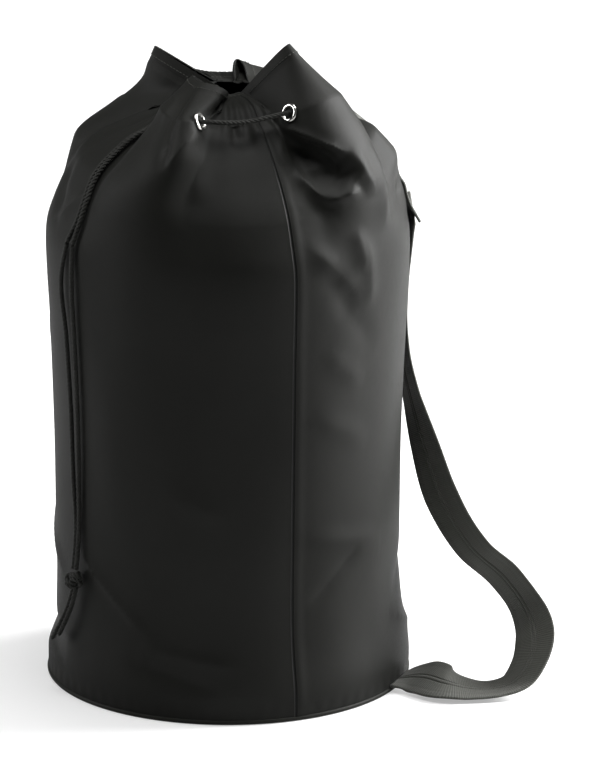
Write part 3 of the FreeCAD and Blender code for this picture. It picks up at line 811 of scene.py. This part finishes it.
def make_cloth():
    cloth = cloth_material()
    thread = thread_material()
    grid, normals, coords, to_hem = build_shell()
    walls = {"front_panel": columns_between(SEAM_COLUMN + COLUMNS // 2, SEAM_COLUMN + COLUMNS),
             "rear_panel": columns_between(SEAM_COLUMN, SEAM_COLUMN + COLUMNS // 2)}
    top = WALL_ROWS + 1
    for name, columns in walls.items():
        piece = sheet_piece("cloth_" + name, grid[:top, columns], normals[:top, columns],
                            unwrap(coords[:top, columns]), CLOTH, cloth)
        fasten(piece, "bag", "bag_fabric", name)
    start = 0
    for kind, name in SECTORS:
        count = KINDS[kind][2]
        columns = columns_between(start, start + count)
        start += count
        part = (slice(WALL_ROWS, None), columns)
        area, facing, uv = grid[part], normals[part], unwrap(coords[part])
        hem = to_hem[part]
        panel = "%s_%s" % (kind, name)
        if kind == "valley":
            bearing = VALLEYS[name]
            left = tuck_grid(area[:, 0], bearing, -1)[:, ::-1]
            right = tuck_grid(area[:, -1], bearing, 1)
            full = np.concatenate([left, area, right], axis=1)
            sides = grid_normals(full, ring=False)
            sides[:, TUCK_COLUMNS:-TUCK_COLUMNS] = facing
            area, facing = full, sides
            uv = widen(uv)
            tucked = np.arange(TUCK_COLUMNS, 0, -1) * 2 * MM
            uv[:, :TUCK_COLUMNS, 0] -= tucked
            uv[:, -TUCK_COLUMNS:, 0] += tucked[::-1]
            hem = widen(hem)
        thick = CLOTH * (1 + smooth((HEM_BAND - hem) / (1.5 * MM)))
        piece = sheet_piece("cloth_" + panel, area, facing, uv, thick, cloth)
        ride_neck(piece)
        fasten(piece, None, "bag_fabric", panel + "_fabric")
        row = int(np.argmin(np.abs(hem[:, hem.shape[1] // 2] - HEM_BAND + 1.2 * MM)))
        stitches = stitch_line("hem_stitches_" + panel, area[row, 1:-1], facing[row, 1:-1], thread)
        ride_neck(stitches)
        fasten(stitches, None, "bag_fabric")
    return grid, normals


def widen(area):
    """Repeats an area's edge columns for the tucks beside it."""
    beside = [(0, 0), (TUCK_COLUMNS, TUCK_COLUMNS), (0, 0)]
    return np.pad(area, beside[:area.ndim], mode="edge")


def unwrap(coords):
    """Cloth coordinates with no jump where the bearing passes from the last column to the first."""
    coords = coords.copy()
    jump = 2 * math.pi * BAG_RADIUS
    for j in range(1, coords.shape[1]):
        if coords[0, j, 0] < coords[0, j - 1, 0] - jump / 2:
            coords[:, j:, 0] += jump
    return coords


def tuck_grid(edge, bearing, side):
    """The hidden part of a pleat: cloth that runs on from a valley's edge behind the ear."""
    height = edge[:, 2]
    length = 0.18 * np.maximum(0.0, height - SHOULDER - PLEAT_START)
    outward = polar(1.0, bearing, 0.0)
    across = polar(side, bearing + 90, 0.0)
    to_ear = edge @ outward - edge @ across
    length = np.minimum(length, to_ear / (1 + PLEAT_LEAN) - 2.2 * MM)
    length = np.maximum(length, 0.4 * MM)
    rows = []
    for k in range(1, TUCK_COLUMNS + 1):
        run = (length * (k / TUCK_COLUMNS) ** 1.5)[:, None]
        inset = (1.9 * MM * smooth(run / (2.5 * MM)))
        rows.append(edge + across * run - outward * (PLEAT_LEAN * run + inset))
    return np.stack(rows, axis=1)


# -------- eyelets

def make_eyelets():
    nickel = nickel_material()
    hole, outside = 4.5, 7.75
    # Outlines as (radius, height) in millimetres.
    barrel = [(hole, -3.0), (hole + 0.5, -3.0), (hole + 0.5, 0.1), (outside, 0.1), (outside + 0.05, 0.35),
              (outside - 0.5, 0.85), (outside - 1.3, 1.2), (hole + 0.9, 1.25), (hole + 0.3, 0.9),
              (hole, 0.3)]
    washer = [(hole + 0.7, -2.6), (outside - 0.5, -2.55), (outside - 0.3, -2.8), (outside - 1.0, -3.2),
              (hole + 0.7, -3.3)]
    for name, places in EYELETS.items():
        for label, profile in (("barrels", barrel), ("washers", washer)):
            outline = np.array(profile) * MM
            piece = lathe("eyelet_%s_%s_shown" % (label, name), outline, places, nickel)
            fasten(piece, "ear_" + name, "eyelet", "eyelet_%s_%s" % (label, name))


# -------- drawcord

def eyelet_beside(bearing, side):
    """The centre of the eyelet at the pleat beside a valley."""
    name = next(name for name, centre in EARS.items() if (bearing + 45 * side - centre) % 360 == 0)
    return np.asarray(EYELETS[name][0 if side > 0 else 1][0])


def threaded(bearing, side, inside=19 * MM):
    """The cord through the eyelet beside a valley, from inside the ear outwards."""
    centre = eyelet_beside(bearing, side)
    outward = polar(1.0, bearing, 0.0)
    across = polar(side, bearing + 90, 0.0)
    away = across - outward * PLEAT_LEAN
    away /= np.linalg.norm(away)
    return [centre + away * inside, centre + away * inside / 2, centre, centre - away * 6 * MM]


def neck_surface(grid, normals, bearing, height, lift):
    """A point above the neck's cloth, at a bearing and millimetres above the shoulder."""
    rows = grid[WALL_ROWS:]
    height = SHOULDER + height * MM
    turn = np.degrees(np.arctan2(rows[..., 1], rows[..., 0]))
    off = angle_between(turn, bearing) * math.radians(1) * BAG_RADIUS
    gap = off ** 2 + (rows[..., 2] - height) ** 2
    i, j = np.unravel_index(np.argmin(gap), gap.shape)
    return rows[i, j] + normals[WALL_ROWS:][i, j] * lift


def wall_surface(grid, bearing, height, lift):
    """A point outside the wall's cloth, at a bearing and a height."""
    rows = grid[:WALL_ROWS + 1]
    middle = rows[WALL_ROWS // 2 - 5]
    turn = np.degrees(np.arctan2(middle[:, 1], middle[:, 0]))
    column = int(np.argmin(np.abs(angle_between(turn, bearing))))
    radius = np.interp(height, rows[:, column, 2], np.hypot(rows[:, column, 0], rows[:, column, 1]))
    return polar(radius + lift, bearing, height)


TAIL_BEARING = 203.0
# Height of a cord's middle above the cloth that it lies on.
CORD_LIFT = CORD_RADIUS + 0.8 * MM
# Where the two tails lie together down the neck: bearing, and height above the shoulder.
TAIL_RUN = [(-155, 96), (-160, 84), (-164, 72), (-162, 64),
            (-160.5, 55), (-159, 46), (-157.5, 35), (-156.5, 20)]
# Down the tube: height, then degrees from the tails' bearing to the near tail and to the far one.
HANG_RUN = [(352, 1.0, -5.5), (300, 0.7, -4.6), (240, 0.22, -4.4), (180, 0.04, -3.4), (140, 0.22, -1.6)]


def make_cords(grid, normals):
    cord = cord_material()
    for name, bearing in VALLEYS.items():
        if name == "cord_side":
            continue
        left = threaded(bearing, -1)
        right = threaded(bearing, 1)
        crown = (left[3] + right[3]) / 2
        outward = polar(1.0, bearing, 0.0)
        middle = [crown + outward * 3.0 * MM - UP * 2.5 * MM]
        span = twisted_cord([left + middle + right[::-1]], "cord_span_shown_" + name, cord)
        fasten(span, "valley_" + name, "cord", "cord_span_" + name)
    for name, centre in EARS.items():
        a, b = (np.asarray(place[0]) for place in EYELETS[name])
        outward = polar(1.0, centre, 0.0)
        run = [a * (0.5 + k / 2) + b * (0.5 - k / 2) + outward * (13 - 4 * k * k / 0.36) * MM
               for k in (0.6, 0.3, 0.0, -0.3, -0.6)]
        inner = twisted_cord([run], "cord_inside_shown_" + name, cord)
        fasten(inner, "ear_" + name, "cord", "cord_inside_" + name)
    make_tails(grid, normals, cord)


def make_tails(grid, normals, cord):
    """The two cord tails: down the valley, down the tube, through the knot to their cut ends."""
    bearing = VALLEYS["cord_side"]
    near = threaded(bearing, 1)
    far = threaded(bearing, -1)
    near_top, far_top = (
        wall_surface(grid, TAIL_BEARING + aside, SHOULDER - 2 * MM, CORD_LIFT) + UP * 3 * MM
        for aside in (0.6, -2.8))
    for line, offset in ((near, 1.0), (far, -1.0)):
        line += [neck_surface(grid, normals, bearing + offset * 0.9, height, CORD_LIFT + 0.6 * MM)
                 for bearing, height in TAIL_RUN]
    upper = twisted_cord([near + [near_top], far + [far_top]], "cord_tails_upper_shown", cord)
    ride_neck(upper)
    fasten(upper, None, "cord", "cord_tails_upper")
    knot_low, knot_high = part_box("cord_knot")
    knot = wall_surface(grid, TAIL_BEARING - 0.5, (knot_low.z + knot_high.z) / 2, 6.5 * MM)
    knot_top = UP * 9 * MM
    across = polar(1.0, TAIL_BEARING + 90, 0.0)
    out = polar(1.0, TAIL_BEARING, 0.0)
    hang_near = [near_top]
    hang_far = [far_top]
    for height, *turns in HANG_RUN:
        for line, aside in zip((hang_near, hang_far), turns):
            spot = wall_surface(grid, TAIL_BEARING + aside, height * MM, CORD_LIFT + 0.5 * MM)
            line.append(spot)
    hang_near.append(knot + knot_top + across * 2 * MM)
    hang_far.append(knot + knot_top - across * 2 * MM)
    hanging = twisted_cord([hang_near, hang_far], "cord_tails_hanging_shown", cord)
    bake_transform(hanging)
    fasten(hanging, None, "cord", "cord_tails_hanging")
    turn = np.linspace(0, 2 * math.pi, 60)
    radius = 4.3 * MM
    loops = []
    for shift in (-1.6 * MM, 1.6 * MM):
        x = (2 + np.cos(3 * turn)) * np.cos(2 * turn) * radius / 1.6
        y = (2 + np.cos(3 * turn)) * np.sin(2 * turn) * radius / 1.6
        z = np.sin(3 * turn) * radius * 0.8 + shift
        loops.append(knot + across * x[:, None] + out * (y[:, None] * 0.55 + 1.0 * MM)
                     + UP * (z[:, None] + 0.35 * x[:, None]))
    tied = twisted_cord(loops, "cord_knot_shown", cord, radius=2.1 * MM)
    fasten(tied, "tail_end", "cord", "cord_knot")
    ends = []
    for side, length, splay in ((1, 44, 17), (-1, 50, 23)):
        low = knot - knot_top * 0.6 + across * side * 2 * MM
        down = UP * length * MM
        aside = out * 6 * MM - across * splay * MM
        ends.append([low + aside * a - down * b for a, b in ((0, 0), (0.25, 0.35), (0.65, 0.72), (1, 1))])
    loose = twisted_cord(ends, "cord_ends_shown", cord)
    fasten(loose, "tail_end", "cord", "cord_ends")


# -------- shoulder strap

# Middle of the hanging strap as (x, y, z) in millimetres, and the direction across the webbing.
STRAP_RUN = [
    ((149.4, 1, 378), (0, 1, 0)),
    ((147.6, 10, 360), (-0.07, 1, 0)),
    ((146, 18, 340), (-0.12, 0.99, 0)),
    ((143.8, 24, 310), (-0.17, 0.99, 0)),
    ((143.2, 25, 280), (-0.17, 0.99, 0)),
    ((145, 18, 250), (-0.16, 0.98, 0)),
    ((150.6, 5, 217), (-0.22, 0.97, 0)),
    ((158.4, -11.6, 181), (-0.46, 0.89, 0)),
    ((169.3, -27.2, 142), (-0.62, 0.77, -0.15)),
    ((192.6, -42.2, 102), (-0.60, 0.74, -0.32)),
    ((216.7, -52.5, 80), (-0.49, 0.72, -0.48)),
    ((231.5, -65, 58), (-0.54, 0.78, -0.28)),
    ((235, -83, 39), (-0.62, 0.78, -0.05)),
    ((228, -95.5, 22), (-0.58, 0.79, -0.20)),
    ((216, -103.5, 9.5), (-0.50, 0.84, -0.16)),
    ((196, -105.5, 4.6), (-0.34, 0.94, -0.03)),
    ((178, -105, 6), (-0.16, 0.97, 0.14)),
    ((157, -102, 11.5), (0.10, 0.88, 0.40)),
    ((146, -89.5, 12), (0.36, 0.83, 0.36)),
    ((137.5, -77.5, 9), (0.49, 0.84, 0.22)),
    ((127, -70.4, 5.6), (0.485, 0.875, 0)),
]
# The strap's top length, from the neck out over the shoulder: bearing, height above the shoulder.
STRAP_TOP = [(5.5, 86), (4.5, 74), (3.0, 60), (1.5, 44), (0.0, 30), (-0.8, 20), (-1.5, 12)]


def webbing(name, middles, widths, material):
    """Woven strap: a ribbon with rounded edges, a ridge along its middle and a groove each side."""
    middles, widths = np.asarray(middles), np.asarray(widths)
    chords = np.concatenate([[0], np.cumsum(np.linalg.norm(np.diff(middles, axis=0), axis=1))])
    count = int(chords[-1] / (1.8 * MM))
    share = np.linspace(0, 1, count)
    line = spline(middles, share)
    across = np.stack([np.interp(share * chords[-1], chords, widths[:, k]) for k in range(3)], axis=-1)
    tangent = np.gradient(line, axis=0)
    tangent /= np.linalg.norm(tangent, axis=1, keepdims=True)
    across -= tangent * (across * tangent).sum(axis=1, keepdims=True)
    across /= np.linalg.norm(across, axis=1, keepdims=True)
    for _ in range(6):
        across[1:-1] = (across[:-2] + 2 * across[1:-1] + across[2:]) / 4
    face = np.cross(tangent, across)
    half = STRAP_WIDTH / 2
    thick = STRAP_THICK / 2
    spans = ((-1, -0.9, 4), (-0.85, -0.2, 11), (-0.16, 0.16, 17), (0.2, 0.85, 11), (0.9, 1, 4))
    places = np.concatenate([np.linspace(*span) for span in spans])
    away = np.abs(places) * half
    depth = thick * np.sqrt(np.clip(1 - np.clip((away - half + thick) / thick, 0, 1) ** 2, 0, 1))
    depth = depth - 0.75 * MM * np.exp(-((away - 1.9 * MM) / (0.55 * MM)) ** 2)
    depth = depth + 0.25 * MM * np.exp(-(away / (1.1 * MM)) ** 2)
    depth = depth - 0.18 * MM * np.exp(-((away - 13 * MM) / (0.5 * MM)) ** 2)
    depth = np.maximum(depth, 0.05 * MM)
    flat = line[:, None] + across[:, None] * (places * half)[None, :, None]
    raised = face[:, None] * depth[None, :, None]
    ring = np.concatenate([flat + raised, (flat - raised)[:, ::-1]], axis=1)
    columns = ring.shape[1]
    faces = [quad[::-1] for quad in quads(count, columns, ring=True)]
    faces.append(tuple(range(columns)))
    faces.append(tuple((count - 1) * columns + j for j in range(columns))[::-1])
    u = np.concatenate([places * half, places[::-1] * half])
    uv = np.stack(np.broadcast_arrays(u[None, :], (share * chords[-1])[:, None]), axis=-1)
    return new_object(name, ring.reshape(-1, 3), faces, None, uv.reshape(-1, 2), material)


def make_strap(grid, normals):
    material = webbing_material()
    middles = [np.array(spot) * MM for spot, _ in STRAP_RUN]
    widths = [np.array(across) for _, across in STRAP_RUN]
    main = webbing("strap_main_shown", middles, widths, material)
    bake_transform(main)
    fasten(main, None, "webbing", "strap_main", "strap_lower_tab")
    lift = STRAP_THICK / 2 + 1.2 * MM
    line = [neck_surface(grid, normals, bearing, height, lift) for bearing, height in STRAP_TOP]
    line.append(np.array((151.8, -5.0, 373.0)) * MM)
    top = webbing("strap_top_shown", line, [(0.0, 1.0, 0.0)] * len(line), material)
    ride_neck(top)
    fasten(top, None, "webbing", "strap_top_section")


# -------- tapes, piping and base

def make_trim(grid, normals):
    tape = tape_material()
    # The piping cover and base panel use the bag cloth at a lighter tone: a painted highlight standing for the
    # light line along the rounded piping.
    cloth = cloth_material("piping_cloth_painted_highlight", 0.012)
    for name, middle in (("seam_tape_front", SEAM_COLUMN), ("seam_tape_rear", SEAM_COLUMN + COLUMNS // 2)):
        columns = columns_between(middle - 3, middle + 3)
        rows = slice(8, WALL_ROWS - 2)
        inside = grid[rows, columns] - normals[rows, columns] * (CLOTH + 0.9 * MM)
        uv = np.zeros(inside.shape[:2] + (2,))
        piece = sheet_piece(name + "_shown", inside, normals[rows, columns], uv, 0.8 * MM, tape)
        fasten(piece, "bag", "tape", name)
    assign(frame["nodes"]["base_seam_tape"], tape)
    assign(frame["nodes"]["base_piping_cover"], cloth)
    assign(frame["nodes"]["base_panel"], cloth)
    assign(frame["nodes"]["base_piping_core"], filler_material())


def assign(node, material):
    node.data.materials.clear()
    node.data.materials.append(material)


# -------- stage, light and camera

def area_light(name, place, target, size, power):
    data = bpy.data.lights.new(name, "AREA")
    data.shape = "DISK"
    data.size = size
    data.energy = power
    light = bpy.data.objects.new(name, data)
    light.location = place
    light.rotation_euler = (Vector(target) - Vector(place)).to_track_quat("-Z", "Y").to_euler()
    bpy.context.scene.collection.objects.link(light)


# How strongly the white surroundings light the bag.
AMBIENT = 0.07


def make_stage():
    world = bpy.data.worlds.new("studio")
    world.use_nodes = True
    tree = world.node_tree
    background = tree.nodes["Background"]
    background.inputs["Color"].default_value = (1.0, 1.0, 1.0, 1.0)
    # The surroundings look white to the camera, and light the bag more dimly.
    seen = tree.nodes.new("ShaderNodeLightPath").outputs["Is Camera Ray"]
    strength = tree.nodes.new("ShaderNodeMapRange")
    tree.links.new(seen, strength.inputs["Value"])
    strength.inputs["To Min"].default_value = AMBIENT
    strength.inputs["To Max"].default_value = 1.0
    tree.links.new(strength.outputs[0], background.inputs["Strength"])
    bpy.context.scene.world = world
    mesh = bpy.data.meshes.new("floor")
    side = 8.0
    corners = [(-side, -side, 0), (side, -side, 0), (side, side, 0), (-side, side, 0)]
    mesh.from_pydata(corners, [], [(0, 1, 2, 3)])
    floor = bpy.data.objects.new("floor", mesh)
    n = Nodes("pale_floor", "floor")
    seen = n.add("ShaderNodeLightPath").outputs["Is Camera Ray"]
    n.finish(Base_Color=(0.62, 0.62, 0.62, 1.0), Roughness=0.9, Specular_IOR_Level=0.1,
             Emission_Color=(1.0, 1.0, 1.0, 1.0), Emission_Strength=n.math("MULTIPLY", seen, 0.4))
    mesh.materials.append(n.material)
    bpy.context.scene.collection.objects.link(floor)
    middle = (0, 0, 0.27)
    area_light("right", (2.3, 0.3, 1.2), middle, 1.5, 205)
    area_light("left", (-2.2, 0.7, 1.2), middle, 1.2, 26)
    area_light("top", (0.1, -0.1, 2.6), middle, 1.4, 54)


def make_camera():
    """A long lens from a little left of the front, slightly above the bag."""
    azimuth = math.radians(-10.0)
    elevation = math.radians(18.0)
    distance = 12.0
    right = Vector((math.cos(azimuth), math.sin(azimuth), 0))
    away = Vector((-math.sin(azimuth), math.cos(azimuth), 0))
    aim = right * 0.0576 + Vector((0, 0, 0.237))
    back = -away * math.cos(elevation) + Vector((0, 0, math.sin(elevation)))
    data = bpy.data.cameras.new("camera")
    # The lens grows with the distance, so the bag keeps its size in the picture.
    data.lens = 58.3 * distance
    data.sensor_width = 36
    camera = bpy.data.objects.new("camera", data)
    camera.location = aim + back * distance
    camera.rotation_euler = (-back).to_track_quat("-Z", "Y").to_euler()
    bpy.context.scene.collection.objects.link(camera)
    bpy.context.scene.camera = camera
    bpy.context.scene.view_settings.view_transform = "Standard"


make_stage()
make_camera()
shell, shell_normals = make_cloth()
make_eyelets()
make_cords(shell, shell_normals)
make_strap(shell, shell_normals)
make_trim(shell, shell_normals)
